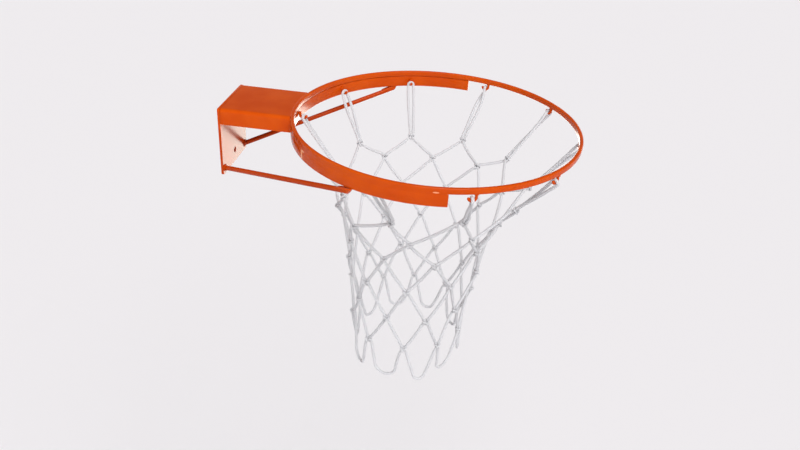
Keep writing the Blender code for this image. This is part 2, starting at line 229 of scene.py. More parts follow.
def makeOrangePaint():
    look = orangePaint
    material, graph, shader = newMaterial("orangePaint")
    place = graph.node("ShaderNodeTexCoord", output="Object")
    patches = graph.noise(place, look["patchScale"], 3)
    patched = graph.step(patches, *look["patchEdge"])
    even = graph.blend(patched, colour(*look["deepColour"]), colour(*look["colour"]))
    # Painted shade: darker towards the bottom, so the braces and the back plate are a shade darker
    # than what stands above them.
    height = graph.node("ShaderNodeSeparateXYZ", None, {0: place}, 2)
    abovePaintedShade = graph.step(height, *look["paintedShadeHeights"])
    base = graph.blend(abovePaintedShade, colour(*look["paintedShadeColour"]), even)
    # Fine scratches run round the ring and along the plates, only in a few worn patches.
    values = {"Vector": place, "Scale": look["scratchStretch"]}
    stretched = graph.node("ShaderNodeMapping", None, values)
    grain = graph.noise(stretched, look["scratchScale"], detail=4, roughness=0.6)
    scratches = graph.step(grain, *look["scratchEdge"])
    worn = graph.step(graph.noise(place, look["wornScale"], 2), *look["wornEdge"])
    scuffs = scratches * worn * look["scuffStrength"]
    scuffed = graph.blend(scuffs, base, colour(*look["scuffColour"]))
    # In a few spots on the ring and the band a pale highlight is painted on, with a ragged edge.
    ragged = (graph.noise(place, look["raggedScale"], 2) - 0.5) * look["raggedDepth"]
    paintedHighlights = 0.0
    for degrees, height, *halves in look["paintedHighlightSpots"]:
        angle = math.radians(degrees)
        values = {"Vector": place, "Location": ringPoint(angle, ringRadius, height),
                  "Rotation": (0, 0, angle), "Scale": (halves[0], halves[2], halves[1])}
        spot = graph.node("ShaderNodeMapping", {"vector_type": "TEXTURE"}, values)
        distance = graph.node("ShaderNodeVectorMath", {"operation": "LENGTH"}, {0: spot}, 1)
        inside = 1 - graph.step(distance + ragged, *look["paintedHighlightEdge"])
        paintedHighlights = graph.math("MAXIMUM", paintedHighlights, inside)
    finished = graph.blend(paintedHighlights * look["paintedHighlightStrength"], scuffed, colour(*look["paintedHighlightColour"]))
    relief = graph.noise(place, look["peelScale"], 1) - scuffs * look["scuffDepth"]
    bump = graph.bump(relief, look["peelStrength"], look["peelDepth"])
    roughness = patches * look["patchRoughness"] + scuffs * look["scuffRoughness"]
    graph.feed(shader, {"Base Color": finished, "Roughness": roughness + look["roughness"],
                        "Normal": bump, "IOR": look["ior"]})
    return material


cord = {
    "radius": 0.0025,
    "strandWidth": 0.0036,
    "strandsAround": 4,
    "relief": 0.00055,
    "reliefMiddle": 0.6,
    "curveSteps": 6,
    "ringSpacing": 0.0008,
    "sides": 16,
    "crest": (226, 226, 229),
    "soiledCrest": (226, 225, 224),
    "creviceShade": (186, 186, 190),
    "shadeHeights": (0.1, 0.75),
    "soilScale": 23,
    "soilEdge": (0.45, 0.75),
    "soilStrength": 0.35,
    "yarnsInStrand": 5,
    "yarnRelief": 0.06,
    "bumpStrength": 0.7,
    "bumpDepth": 0.0005,
    "roughness": 0.85,
    "crestSmoothness": 0.25,
    "sheenWeight": 0.15,
    "specularLevel": 0.35,
    "placeName": "cordPlace",
    "thicknessName": "thickness",
}


def makeCordMaterial():
    look = cord
    material, graph, shader = newMaterial("whiteNylonCord")
    settings = {"attribute_name": look["placeName"]}
    place = graph.node("ShaderNodeAttribute", settings, output="Vector")
    along = graph.node("ShaderNodeSeparateXYZ", None, {0: place}, 0)
    angle = graph.math("ARCTAN2", graph.also(along, 2), graph.also(along, 1))
    around = angle * (look["strandsAround"] / (2 * math.pi))
    height = graph.braid(along * (1 / look["strandWidth"]), around)
    # Yarns are seen as fine lines within each strand.
    yarns = graph.math("SINE", around * (2 * math.pi * look["yarnsInStrand"]))
    surface = height + yarns * look["yarnRelief"]
    objectPlace = graph.node("ShaderNodeTexCoord", output="Object")
    soil = graph.step(graph.noise(objectPlace, look["soilScale"], 3), *look["soilEdge"])
    soiled = colour(*look["soiledCrest"])
    crest = graph.blend(soil * look["soilStrength"], colour(*look["crest"]), soiled)
    # Painted shade: the braid's valleys are darker than its crests.
    shade = graph.step(surface, *look["shadeHeights"])
    graph.feed(shader, {
        "Base Color": graph.blend(shade, colour(*look["creviceShade"]), crest),
        "Roughness": look["roughness"] - shade * look["crestSmoothness"],
        "Normal": graph.bump(surface, look["bumpStrength"], look["bumpDepth"]),
        "Sheen Weight": look["sheenWeight"],
        "Specular IOR Level": look["specularLevel"],
    })
    return material


paint = makeOrangePaint()
nylon = makeCordMaterial()
print("materials made")


# Making pieces

def addObject(name, data):
    obj = bpy.data.objects.new(name, data)
    bpy.context.scene.collection.objects.link(obj)
    return obj


def addPiece(name, bm, material, sharpAngle=35):
    bmesh.ops.recalc_face_normals(bm, faces=bm.faces)
    if bm.calc_volume(signed=True) < 0:
        bmesh.ops.reverse_faces(bm, faces=bm.faces)
    mesh = bpy.data.meshes.new(name)
    bm.to_mesh(mesh)
    bm.free()
    mesh.shade_smooth()
    mesh.set_sharp_from_angle(angle=math.radians(sharpAngle))
    mesh.materials.append(material)
    return addObject(name, mesh)


def settleModifiers(piece):
    # Turns what the modifiers show into a plain mesh.
    bpy.context.view_layer.update()
    shown = piece.evaluated_get(bpy.context.evaluated_depsgraph_get())
    mesh = bpy.data.meshes.new_from_object(shown)
    piece.modifiers.clear()
    piece.data = mesh
    mesh.name = piece.name
    return piece


def roundEdges(piece, width, segments=2, angle=50):
    bevel = piece.modifiers.new("roundedEdges", "BEVEL")
    bevel.width = width
    bevel.segments = segments
    bevel.limit_method = "ANGLE"
    bevel.angle_limit = math.radians(angle)
    bevel.harden_normals = True
    return settleModifiers(piece)


def loft(bm, sections, closed=False, capped=True):
    # Joins sections of equally many points. A closed loft runs back into its first section.
    rings = [[bm.verts.new(point) for point in section] for section in sections]
    pairs = list(zip(rings, rings[1:]))
    if closed:
        pairs.append((rings[-1], rings[0]))
    count = len(rings[0])
    for first, second in pairs:
        for i in range(count):
            j = (i + 1) % count
            bm.faces.new((first[i], first[j], second[j], second[i]))
    if capped and not closed:
        bm.faces.new(rings[0])
        bm.faces.new(rings[-1])
    return rings


def fullTurn(count):
    return [2 * math.pi * k / count for k in range(count)]


def roundedOutline(low, high, radius, steps):
    points = []
    quarter = math.pi / 2
    corners = ((high[0], high[1]), (low[0], high[1]), (low[0], low[1]), (high[0], low[1]))
    for turn, (x, y) in enumerate(corners):
        inX = x - math.copysign(radius, x - (low[0] + high[0]) / 2)
        inY = y - math.copysign(radius, y - (low[1] + high[1]) / 2)
        for k in range(steps + 1):
            angle = quarter * (turn + k / steps)
            points.append((inX + radius * math.cos(angle), inY + radius * math.sin(angle)))
    return points


def squareTo(line, direction):
    return (direction - line * direction.dot(line)).normalized()


def rodSections(points, radii, sides, reference):
    # Round sections along a path, one radius for each point.
    sections = []
    for k, point in enumerate(points):
        along = (points[min(k + 1, len(points) - 1)] - points[max(k - 1, 0)]).normalized()
        corner = squareTo(along, reference)
        across = along.cross(corner)
        sections.append([point + radii[k] * (math.cos(a) * corner + math.sin(a) * across)
                         for a in fullTurn(sides)])
    return sections


def arc(middle, first, second, start, end, steps):
    angles = [start + (end - start) * k / steps for k in range(steps + 1)]
    return [middle + first * math.cos(a) + second * math.sin(a) for a in angles]


def keep(piece, slot, *nodes):
    # The finished piece rides on the one body, and stands for its nodes if it has any.
    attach(piece, "root")
    if nodes:
        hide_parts(*nodes)
    print(piece.name, len(piece.data.loop_triangles) or len(piece.data.polygons), "faces")


def keepSteel(name, bm, edgeWidth, node):
    keep(roundEdges(addPiece(name, bm, paint), edgeWidth), "orange_paint", node)


# Ring and band

ringBar = {
    "width": 0.006,
    "edgeRadius": 0.002,
    "segments": 288,
    "edgeSteps": 5,
}

bandBar = {
    "thickness": 0.005,
    "halfAngle": math.radians(99.8),
    "edgeRadius": 0.0008,
    "segments": 170,
    "edgeSteps": 3,
    "endRadius": 0.0006,
}

# The weld that joins the two along their outer faces, ground flush and painted over
bandSeam = {
    "depth": 0.0030,
    "intoBand": 0.0014,
    "intoRing": 0.0024,
    "inset": 0.00005,
    "edgeRadius": 0.0002,
    "edgeSteps": 2,
    "endTrim": 0.003,
}


def bandAngles(trim=0):
    # From one end of the band to the other, round the wall side of the ring
    count = bandBar["segments"]
    return [math.pi + (bandBar["halfAngle"] - trim) * (2 * k / count - 1) for k in range(count + 1)]


def sweepRound(bar, low, high, angles, closed=False):
    outline = roundedOutline(low, high, bar["edgeRadius"], bar["edgeSteps"])
    bm = bmesh.new()
    loft(bm, [[ringPoint(a, r, z) for r, z in outline] for a in angles], closed)
    return bm


def makeRing():
    low, high = (ringRadius - ringBar["width"], ringLow.z), (ringRadius, ringTop)
    bm = sweepRound(ringBar, low, high, fullTurn(ringBar["segments"]), True)
    keep(addPiece("ringBar", bm, paint), "orange_paint", "ring")


def makeBand():
    low, high = (ringRadius - bandBar["thickness"], bandLow.z), (ringRadius, bandHigh.z)
    bm = sweepRound(bandBar, low, high, bandAngles())
    keepSteel("reinforcingBand", bm, bandBar["endRadius"], "reinforcing_band")


def makeSeam():
    low = (ringRadius - bandSeam["depth"], bandHigh.z - bandSeam["intoBand"])
    high = (ringRadius - bandSeam["inset"], ringLow.z + bandSeam["intoRing"])
    bm = sweepRound(bandSeam, low, high, bandAngles(bandSeam["endTrim"]))
    keep(addPiece("bandSeamWeld", bm, paint), "orange_paint")


makeRing()
makeBand()
makeSeam()


# Bracket

backPlate = {
    "cornerRadius": 0.003,
    "cornerSteps": 6,
    "edgeRadius": 0.0007,
    "holeDiameter": 0.010,
    "upperHoleSpacing": 0.070,
    "upperHoleDrop": 0.024,
    "lowerHoleRise": 0.020,
    "holeSides": 48,
}

topPlate = {
    "sheet": 0.004,
    "foldRadius": 0.006,
    "foldSteps": 10,
    "acrossSteps": 48,
    "flangeSteps": 4,
    "reachSteps": 24,
    "edgeRadius": 0.0005,
    "ringGap": 0.0003,
}


def holeMiddles():
    half = backPlate["upperHoleSpacing"] / 2
    upper = backHigh.z - backPlate["upperHoleDrop"]
    return [(-half, upper), (half, upper), (0, backLow.z + backPlate["lowerHoleRise"])]


def makeBackPlate():
    loops = [roundedOutline((backLow.x, backLow.z), (backHigh.x, backHigh.z),
                            backPlate["cornerRadius"], backPlate["cornerSteps"])]
    radius = backPlate["holeDiameter"] / 2
    for x, z in holeMiddles():
        turns = fullTurn(backPlate["holeSides"])
        loops.append([(x + radius * math.cos(a), z + radius * math.sin(a)) for a in turns])
    bm = bmesh.new()
    edges = []
    for points in loops:
        verts = [bm.verts.new((x, backHigh.y, z)) for x, z in points]
        edges += [bm.edges.new((verts[i - 1], verts[i])) for i in range(len(verts))]
    filled = bmesh.ops.triangle_fill(bm, use_beauty=True, edges=edges)
    faces = [g for g in filled["geom"] if isinstance(g, bmesh.types.BMFace)]
    abovePaintedShade = bmesh.ops.extrude_face_region(bm, geom=faces)
    moved = [g for g in abovePaintedShade["geom"] if isinstance(g, bmesh.types.BMVert)]
    bmesh.ops.translate(bm, vec=(0, backLow.y - backHigh.y, 0), verts=moved)
    keepSteel("backPlate", bm, backPlate["edgeRadius"], "back_plate")


def channelOutline():
    # The folded sheet's section: round its outer side, and back along its inner side.
    half = topHigh.x
    bendX = half - topPlate["foldRadius"]
    bendZ = topHigh.z - topPlate["foldRadius"]
    flange, fold, across = topPlate["flangeSteps"], topPlate["foldSteps"], topPlate["acrossSteps"]
    rows = []
    for inset in (0, topPlate["sheet"]):
        radius = topPlate["foldRadius"] - inset
        row = [(half - inset, topLow.z + (bendZ - topLow.z) * k / flange) for k in range(flange)]
        for k in range(fold + 1):
            angle = math.pi / 2 * k / fold
            row.append((bendX + radius * math.cos(angle), bendZ + radius * math.sin(angle)))
        level = row[-1][1]
        row += [(bendX - bendX * 2 * k / across, level) for k in range(1, across // 2)]
        rows.append(row + [(0, level)] + [(-x, z) for x, z in reversed(row)])
    return rows[0] + rows[1][::-1]


def frontEdge(x, radius):
    # Where a line straight out from the wall, at x, meets a circle round the ring's middle.
    return ringMiddle.y + math.sqrt(radius ** 2 - x * x)


def makeTopPlate():
    outline = channelOutline()
    steps = topPlate["reachSteps"]
    reach = [frontEdge(x, ringRadius + topPlate["ringGap"]) - topHigh.y for x, _ in outline]
    sections = [[(x, topHigh.y + out * (k / steps), z) for (x, z), out in zip(outline, reach)]
                for k in range(steps + 1)]
    bm = bmesh.new()
    rings = loft(bm, sections, capped=False)
    # Each end is closed by a strip between the outer and the inner side.
    count = len(outline)
    for ring in (rings[0], rings[-1]):
        for i in range(count // 2 - 1):
            bm.faces.new((ring[i], ring[i + 1], ring[count - 2 - i], ring[count - 1 - i]))
    keepSteel("topPlate", bm, topPlate["edgeRadius"], "top_plate")


makeBackPlate()
makeTopPlate()


# Braces

brace = {
    "radius": 0.004,
    "sideInset": 0.008,
    "rise": 0.010,
    "tail": 0.038,
    "bite": 0.001,
    "endSlant": math.radians(45),
    "gap": 0.0003,
    "sides": 40,
    "shaftSteps": 12,
    "groundSteps": 6,
    "edgeRadius": 0.0004,
}


def braceEnds(side):
    foot = Vector((backHigh.x - brace["sideInset"], backLow.y - brace["gap"],
                   backLow.z + brace["rise"]))
    fromMiddle = foot - ringMiddle
    lineRadius = ringRadius - bandBar["thickness"] / 2
    turn = math.acos(lineRadius / fromMiddle.xy.length)
    touch = ringPoint(math.atan2(fromMiddle.x, -fromMiddle.y) - turn, lineRadius, foot.z)
    end = touch + (touch - foot).normalized() * brace["tail"]
    end.z = bandLow.z - brace["gap"] - brace["radius"] + brace["bite"]
    return [Vector((side * p.x, p.y, p.z)) for p in (foot, end)]


def cutFlat(section, along, depth):
    # Each point of a rod's section, moved along the rod until all lie at one depth.
    return [p + along * ((depth - p.y) / along.y) for p in section]


def makeBrace(name, side, node):
    foot, end = braceEnds(side)
    along = (end - foot).normalized()
    groundStart = end - along * (brace["bite"] / along.z)
    shaft, ground = brace["shaftSteps"], brace["groundSteps"]
    points = [foot] + [foot.lerp(groundStart, k / shaft) for k in range(1, shaft)]
    points += [groundStart.lerp(end, k / ground) for k in range(ground + 1)]
    sections = rodSections(points, [brace["radius"]] * len(points), brace["sides"], up)
    sections[0] = cutFlat(sections[0], along, foot.y)
    # The end is cut on a slant, and its top is ground flat under the band.
    slant = math.tan(brace["endSlant"])
    for k in range(shaft, len(points)):
        crown = max(p.z for p in sections[k])
        sections[k] = [p - along * ((crown - p.z) * slant) for p in sections[k]]
    bearing = bandLow.z - brace["gap"]
    bm = bmesh.new()
    loft(bm, [[Vector((p.x, p.y, min(p.z, bearing))) for p in section] for section in sections])
    keepSteel(name, bm, brace["edgeRadius"], node)


makeBrace("leftBrace", -1, "left_brace")
makeBrace("rightBrace", 1, "right_brace")


# Geometry Nodes trees

def newTree(name, inputs):
    # Inputs are values by name, and the kind of each socket follows from its value.
    kinds = {int: "Int", float: "Float", Vector: "Vector"}
    tree = bpy.data.node_groups.new(name, "GeometryNodeTree")
    for way in ("INPUT", "OUTPUT"):
        tree.interface.new_socket("Geometry", in_out=way, socket_type="NodeSocketGeometry")
    for socketName, value in inputs.items():
        kind = kinds.get(type(value), "Material")
        tree.interface.new_socket(socketName, in_out="INPUT", socket_type="NodeSocket" + kind)
    graph = Graph(tree)
    entry = graph.node("NodeGroupInput")
    return graph, {socket.name: Wire(graph, socket) for socket in entry.socket.node.outputs}


def endTree(graph, geometry, material):
    # Every tree ends by realizing its instances and setting the material.
    smooth = graph.node("GeometryNodeSetShadeSmooth", None, {"Geometry": geometry})
    real = graph.node("GeometryNodeRealizeInstances", None, {"Geometry": smooth})
    done = graph.node("GeometryNodeSetMaterial", None, {"Geometry": real, "Material": material})
    graph.node("NodeGroupOutput", None, {0: done})
    return graph.tree


def grow(piece, tree, inputs):
    modifier = piece.modifiers.new(tree.name, "NODES")
    modifier.node_group = tree
    for item in tree.interface.items_tree:
        if item.in_out == "INPUT" and item.name in inputs:
            modifier[item.identifier] = inputs[item.name]
    return settleModifiers(piece)


def pathObject(name, paths):
    # Paths are lists of points, each a place and a thickness, and whether the path is closed.
    verts, edges, thickness = [], [], []
    for points, closed in paths:
        start = len(verts)
        verts += [place for place, _ in points]
        thickness += [share for _, share in points]
        edges += [(start + i, start + i + 1) for i in range(len(points) - 1)]
        if closed:
            edges.append((start + len(points) - 1, start))
    mesh = bpy.data.meshes.new(name)
    mesh.from_pydata(verts, edges, [])
    attribute = mesh.attributes.new(cord["thicknessName"], "FLOAT", "POINT")
    attribute.data.foreach_set("value", thickness)
    return addObject(name, mesh)


# Net hooks

hook = {
    "count": 10,
    "rodRadius": 0.00225,
    "shank": 0.0045,
    "crookRadius": 0.0055,
    "crookTurn": math.radians(160),
    "bandDrop": 0.0035,
    "gap": 0.0003,
    "sides": 20,
    "shankSteps": 5,
    "crookSteps": 26,
    "tipSteps": 6,
    # Of the rod's radius: how far the tip stands out, and what is left of it at its end
    "tipLength": 0.7,
    "tipEnd": 0.12,
    "sharpAngle": 60,
}
halfStep = math.pi / hook["count"]
bareHookRadius = ringRadius - ringBar["width"] / 2
bandHookRadius = (ringRadius - bandBar["thickness"] - hook["gap"] - hook["rodRadius"]
                  - hook["crookRadius"])
crookHeight = ringLow.z - hook["gap"] - hook["shank"]


def makeHookTree(inputs):
    # One hook, copied round the ring. Under the bare ring the tips point along it towards the
    # wall, and on the band, whose middle is at half a turn, they point inwards and hang lower.
    graph, given = newTree("hooksRoundRing", inputs)
    points = graph.node("GeometryNodePoints", None, {"Count": given["Count"]})
    angle = graph.node("GeometryNodeInputIndex") * (2 * math.pi) / given["Count"]
    fromBand = graph.math("ABSOLUTE", angle - math.pi)
    onBand = graph.math("LESS_THAN", fromBand, given["Band half angle"])
    pastHalf = graph.math("GREATER_THAN", angle, math.pi)
    radius = given["Bare radius"] + (given["Band radius"] - given["Bare radius"]) * onBand
    heading = angle + onBand * (math.pi / 2) + (1 - onBand) * pastHalf * math.pi
    x = radius * graph.math("SINE", angle)
    y = radius * graph.math("COSINE", angle) * -1
    z = given["Band drop"] * onBand * -1
    place = graph.node("ShaderNodeCombineXYZ", None, {0: x, 1: y, 2: z})
    placed = graph.node("GeometryNodeSetPosition", None,
                        {"Geometry": points, "Position": place, "Offset": given["Middle"]})
    rotation = graph.node("ShaderNodeCombineXYZ", None, {2: heading})
    copies = graph.node("GeometryNodeInstanceOnPoints", None,
                        {"Points": placed, "Instance": given["Geometry"], "Rotation": rotation})
    return endTree(graph, copies, given["Material"])


def onBand(angle):
    return abs(angle - math.pi) < bandBar["halfAngle"]


def crookDirection(angle):
    # From a hook's shank to its tip.
    if onBand(angle):
        return -outward(angle)
    return sideways(angle) if angle < math.pi else -sideways(angle)


def crookMiddle(angle):
    if onBand(angle):
        return ringPoint(angle, bandHookRadius, crookHeight - hook["bandDrop"])
    return ringPoint(angle, bareHookRadius, crookHeight)


def makeHooks():
    # The hook is made with the middle of its crook at the origin and its tip towards +X.
    ahead = Vector((1, 0, 0))
    crook = hook["crookRadius"]
    turn = hook["crookTurn"]
    radius = hook["rodRadius"]
    bend = arc(Vector(), -ahead * crook, -up * crook, 0, turn, hook["crookSteps"])
    lean = ahead * math.sin(turn) - up * math.cos(turn)
    steps = hook["shankSteps"]
    shank = [bend[0] + up * hook["shank"] * (1 - k / steps) for k in range(steps)]
    points = shank + bend
    radii = [radius] * len(points)
    # The tip is rounded off by a quarter turn.
    for k in range(1, hook["tipSteps"] + 1):
        angle = math.pi / 2 * k / hook["tipSteps"]
        points.append(bend[-1] + lean * radius * hook["tipLength"] * math.sin(angle))
        radii.append(radius * max(math.cos(angle), hook["tipEnd"]))
    bm = bmesh.new()
    loft(bm, rodSections(points, radii, hook["sides"], ahead.cross(up)))
    hooks = addPiece("netHooks", bm, paint, hook["sharpAngle"])
    middle = Vector((ringMiddle.x, ringMiddle.y, crookHeight))
    inputs = {"Count": hook["count"], "Middle": middle, "Bare radius": bareHookRadius,
              "Band radius": bandHookRadius, "Band half angle": bandBar["halfAngle"],
              "Band drop": hook["bandDrop"], "Material": paint}
    grow(hooks, makeHookTree(inputs), inputs)
    keep(hooks, "orange_paint", *[f"net_hook_{k + 1:02d}" for k in range(hook["count"])])


makeHooks()


# Weld beads

weldBead = {
    "radius": 0.0019,
    "pitch": 0.0017,
    "ripple": 0.18,
    "ringsInRipple": 5,
    "sides": 14,
    "unevenScale": 320,
    "unevenness": 0.35,
    "leanest": 0.9,
    # Shares of the full size: where a bead starts and ends, and the smaller beads
    "endSize": 0.45,
    "endSteps": 3,
    "topSize": 0.85,
    "footSize": 0.8,
    "groundSize": 0.85,
    "hookSize": 0.55,
    "hookRoundSize": 0.44,
}

# How far the middles of the beads lie from the corners they fill
seams = {
    "hookBehind": 0.75,  # in rod radii, as the next one
    "hookBeside": 0.8,
    "hookSteps": 8,
    "hookRound": 0.0004,
    "hookBelow": 0.0001,
    "hookRoundSteps": 20,
    "frontUnder": (0.0003, 0.0006),  # out from the ring, and down from the sheet
    "frontOver": (-0.0001, 0.0016),
    "frontMargin": 0.005,
    "flangeInner": 0.0004,
    "flangeOuter": 0.0002,
    "flangeMargins": (0.001, 0.007),
    "flangeSteps": 16,
    "backGap": 0.0003,
    "backMargin": 0.008,
    "longSteps": 60,
    "footRound": 0.0003,
    "footGap": 0.0002,
    "footSteps": 28,
    "groundLength": 0.030,
    "groundBeside": 0.0026,
    "groundRise": 0.86,  # in rod radii
    "groundSteps": 14,
}


def makeWeldTree(inputs):
    graph, given = newTree("weldBead", inputs)
    curve = graph.node("GeometryNodeMeshToCurve", None, {"Mesh": given["Geometry"]})
    spacing = given["Ripple pitch"] / weldBead["ringsInRipple"]
    evenly = graph.node("GeometryNodeResampleCurve", {"mode": "LENGTH"},
                        {"Curve": curve, "Length": spacing})
    circle = graph.node("GeometryNodeCurvePrimitiveCircle", None,
                        {"Resolution": weldBead["sides"], "Radius": 1.0})
    length = graph.node("GeometryNodeSplineParameter", output="Length")
    scales = graph.math("PINGPONG", length / given["Ripple pitch"], 1.0)
    position = graph.node("GeometryNodeInputPosition")
    uneven = (graph.noise(position, weldBead["unevenScale"], 1) - 0.5) * weldBead["unevenness"]
    swell = scales * given["Ripple"] + uneven + weldBead["leanest"]
    thickness = graph.named(cord["thicknessName"])
    radius = swell * thickness * given["Bead radius"]
    values = {"Curve": evenly, "Profile Curve": circle, "Scale": radius, "Fill Caps": True}
    beads = graph.node("GeometryNodeCurveToMesh", None, values)
    return endTree(graph, beads, given["Material"])


def bead(points, size=1, closed=False):
    # An open bead is thin where it starts and ends.
    last = len(points) - 1
    thin = 1 if closed else weldBead["endSize"]
    swell = (1 - thin) / weldBead["endSteps"]
    shares = [min(1, thin + swell * min(k, last - k)) for k in range(last + 1)]
    return [(p, share * size) for p, share in zip(points, shares)], closed


def hookWelds():
    # Along both sides of each shank on the band, and all round it under the bare ring
    paths = []
    radius, shank, steps = hook["rodRadius"], hook["shank"], seams["hookSteps"]
    for column in range(hook["count"]):
        angle = 2 * halfStep * column
        ahead = crookDirection(angle)
        beside = ahead.cross(up)
        root = crookMiddle(angle) - ahead * hook["crookRadius"]
        if onBand(angle):
            behind = root - ahead * radius * seams["hookBehind"]
            for side in (-1, 1):
                foot = behind + beside * side * radius * seams["hookBeside"]
                line = [foot + up * shank * k / steps for k in range(steps + 1)]
                paths.append(bead(line, weldBead["hookSize"]))
        else:
            top = root + up * (shank + seams["hookBelow"])
            reach = radius + seams["hookRound"]
            circle = [top + reach * (math.cos(a) * ahead + math.sin(a) * beside)
                      for a in fullTurn(seams["hookRoundSteps"])]
            paths.append(bead(circle, weldBead["hookRoundSize"], True))
    return paths


def plateWelds():
    half = topHigh.x
    sheet = topPlate["sheet"]
    steps = seams["longSteps"]
    spread = [2 * k / steps - 1 for k in range(steps + 1)]
    # The front edge against the ring, under the sheet and on top of it
    reach = math.asin((half - seams["frontMargin"]) / ringRadius)
    underOut, under = seams["frontUnder"]
    overOut, over = seams["frontOver"]
    paths = []
    for radius, height, size in ((ringRadius + underOut, topHigh.z - sheet - under, 1),
                                 (ringRadius + overOut, topHigh.z - over, weldBead["topSize"])):
        paths.append(bead([ringPoint(math.pi + reach * s, radius, height) for s in spread], size))
    # Each flange against the ring, inside and outside, and against the back plate
    inner, outer = half - sheet - seams["flangeInner"], half + seams["flangeOuter"]
    back = backLow.y - seams["backGap"]
    lowMargin, highMargin = seams["flangeMargins"]
    lowest, highest = topLow.z + lowMargin, topHigh.z - highMargin
    steps = seams["flangeSteps"]
    heights = [lowest + (highest - lowest) * k / steps for k in range(steps + 1)]
    for side in (-1, 1):
        for x, y in ((inner, frontEdge(inner, ringRadius) + seams["flangeInner"]),
                     (outer, frontEdge(half, ringRadius) + seams["flangeOuter"]),
                     (inner, back)):
            paths.append(bead([Vector((side * x, y, z)) for z in heights]))
    # The sheet against the back plate, underneath
    width = half - seams["backMargin"]
    height = topHigh.z - sheet - seams["backGap"]
    paths.append(bead([Vector((width * s, back, height)) for s in spread]))
    return paths


def braceWelds():
    # Round each brace's foot, and along both sides of its ground top
    paths = []
    radius = brace["radius"]
    radii = [radius + seams["footRound"]] * 2
    for side in (-1, 1):
        foot, end = braceEnds(side)
        along = (end - foot).normalized()
        section = rodSections([foot, end], radii, seams["footSteps"], up)[0]
        circle = cutFlat(section, along, foot.y - seams["footGap"])
        paths.append(bead(circle, weldBead["footSize"], True))
        level = Vector((along.x, along.y, 0)).normalized().cross(up)
        start = end - along * seams["groundLength"]
        steps = seams["groundSteps"]
        for edge in (-1, 1):
            line = []
            for k in range(steps + 1):
                p = start.lerp(end, k / steps) + level * (edge * seams["groundBeside"])
                p.z = min(p.z + radius * seams["groundRise"], bandLow.z - seams["footGap"])
                line.append(p)
            paths.append(bead(line, weldBead["groundSize"]))
    return paths


def makeWelds():
    welds = pathObject("weldBeads", hookWelds() + plateWelds() + braceWelds())
    inputs = {"Bead radius": weldBead["radius"], "Ripple pitch": weldBead["pitch"],
              "Ripple": weldBead["ripple"], "Material": paint}
    grow(welds, makeWeldTree(inputs), inputs)
    keep(welds, "orange_paint")


makeWelds()


# Net. The first knots hang inside the ring, and each row of cells is deeper than the one above
# it while the net narrows towards its waist and drifts to one side.

net = {
    "rows": 6,
    "length": 0.449,
    "firstDrop": 0.104,
    "firstInset": 0.064,
    "waistRadius": 0.084,
    "taper": 0.73,
    "firstCellShare": 0.54,
    "cellEase": 0.65,
    "driftSide": -0.020,
    "driftBack": 0.016,
    "driftLift": 0.020,
    "driftEase": 0.2,
    "twist": math.radians(1.6),
    "sag": 0.0015,
    "hemRadii": (0.014, 0.013, 0.015, 0.014, 0.013, 0.016, 0.020, 0.010, 0.020, 0.015),
    "unevenness": 0.0016,
    "firstUnevenness": 0.00064,
    "squeeze": 0.6,
    "pointSpacing": 0.003,
    "bowSpread": 0.6,
    "neckSize": 0.9,
    "hemSteps": 10,
    "seed": 11,
}

netLoop = {
    "archSize": 0.96,
    "archSteps": 10,
    "neckRise": 0.0135,
    "neckSpread": 1.25,  # in cord radii
    "sag": 0.0008,
    "bulgeLean": 1.6,
    "bulges": (0.0015, 0.002, 0.0045, 0.001, 0.003, 0.002, 0.001, 0.0015, 0.001, 0.002),
}

# The netting knot, in squeezed cord diameters: across, up and out of the net. A bight hangs from
# the row above, and the tying cord goes up through it, round its neck and under itself.
bightPath = [
    (-0.97, 2.07, 0.05), (-0.72, 1.39, 0.08), (-0.78, 0.68, 0.02), (-1.04, 0.01, 0.04),
    (-0.97, -0.70, 0.09), (-0.45, -1.18, 0.07), (0.26, -1.19, 0.02), (0.79, -0.72, -0.03),
    (0.89, -0.02, -0.04), (0.76, 0.69, 0.02), (0.70, 1.40, 0.08), (0.95, 2.08, 0.05),
]
tyingPath = [
    (-1.10, -1.22, -0.83), (-0.56, -0.72, -0.84), (-0.16, -0.33, -0.36), (-0.09, -0.31, 0.37),
    (-0.14, -0.43, 1.11), (0.09, -0.11, 1.73), (0.52, 0.45, 1.92), (0.99, 0.90, 1.57),
    (1.36, 1.11, 0.95), (1.65, 1.23, 0.26), (1.51, 1.31, -0.45), (0.91, 1.40, -0.87),
    (0.16, 1.44, -0.96), (-0.59, 1.40, -0.94), (-1.29, 1.28, -0.71), (-1.66, 1.15, -0.09),
    (-1.51, 1.00, 0.61), (-0.92, 0.79, 1.00), (-0.19, 0.61, 0.98), (0.50, 0.31, 0.94),
    (1.03, -0.22, 0.94), (1.49, -0.79, 0.79),
]

# How far single knots stand out of the net's even shape: row, column, towards the wall and up.
# Row 7 is the bottom of the hem.
pulledKnots = [
    (1, 1, 0.005, 0.002), (1, 2, 0.0045, 0.003), (1, 4, 0.004, 0.003),
    (1, 7, -0.001, -0.006), (1, 8, -0.008, 0.010), (1, 9, -0.005, 0.007),
    (2, 1, -0.006, 0.005), (2, 2, -0.009, -0.005), (2, 3, -0.004, 0.005), (2, 5, -0.004, -0.006),
    (2, 6, 0.011, 0.003), (2, 7, 0.004, 0), (2, 8, -0.0045, 0.0025), (2, 9, 0.0025, -0.006),
    (3, 7, 0.0035, 0.004), (3, 8, 0, 0.003), (3, 9, 0, 0.003),
    (4, 6, 0.002, -0.004), (4, 7, 0.001, 0.002), (4, 8, -0.003, 0.006),
    (5, 9, 0.0035, -0.0025), (6, 5, 0.002, 0.009), (6, 6, 0.003, -0.005), (6, 9, 0.003, -0.003),
    (7, 6, 0.004, -0.007), (7, 9, 0.008, 0.002),
]

chance = random.Random(net["seed"])


